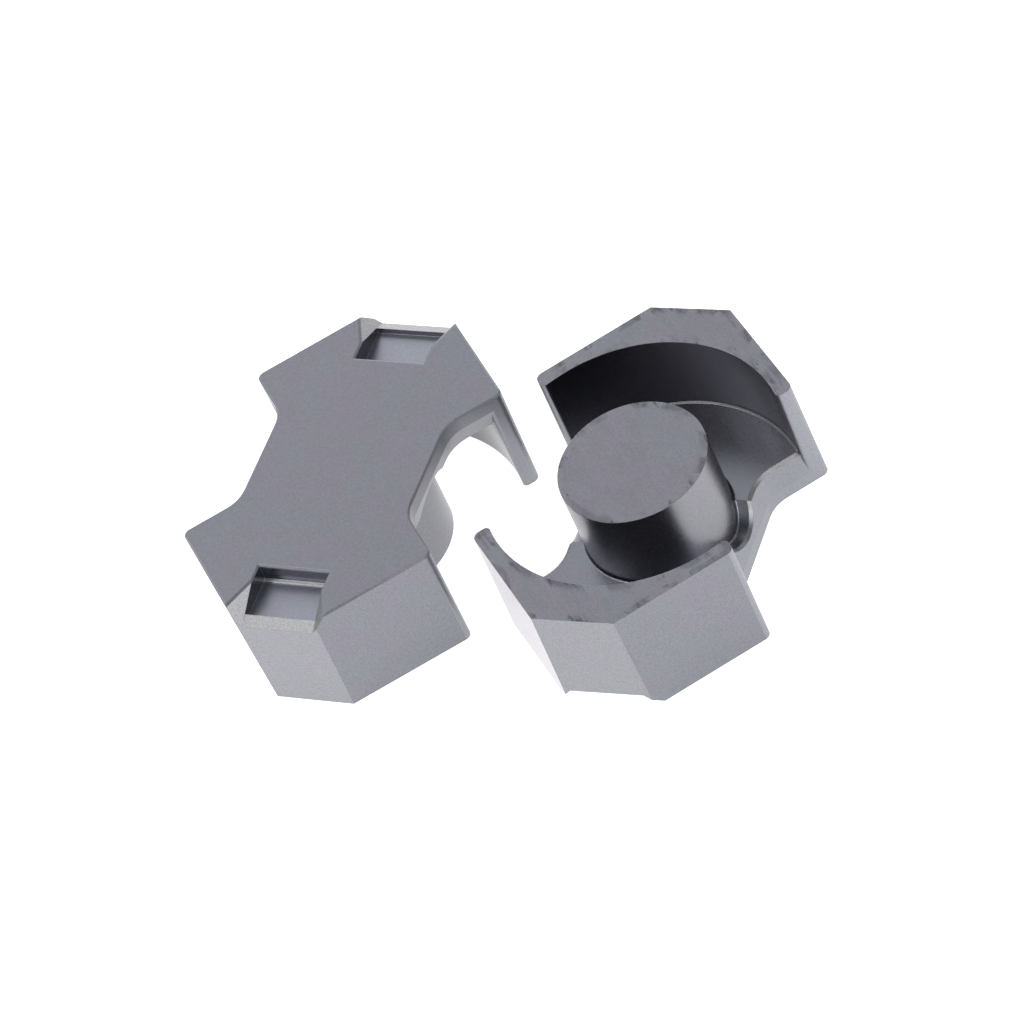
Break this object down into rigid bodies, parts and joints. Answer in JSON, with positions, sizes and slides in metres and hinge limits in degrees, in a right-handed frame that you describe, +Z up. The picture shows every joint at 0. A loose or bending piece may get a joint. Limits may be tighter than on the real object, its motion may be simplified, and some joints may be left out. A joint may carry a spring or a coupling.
{
  "type": "rectangular module ferrite core",
  "caption": "Ferrite core of two mating halves, each a square plate with round centre post, two legs and clip recesses, one half gapped.",
  "frame": {"origin": "middle of the base of the box round both halves, on the surface they stand on", "axes": "+Z up, +Y along the plain half's long axis, +X from the gapped half to the plain half"},
  "size_m": [0.0416, 0.0292, 0.0093],
  "materials": {
    "ferrite": "fine grained matte dark grey, as sintered, with ground mating faces"
  },
  "bodies": {
    "root": {"plain_half": "ferrite", "gapped_half": "ferrite"}
  },
  "joints": []
}
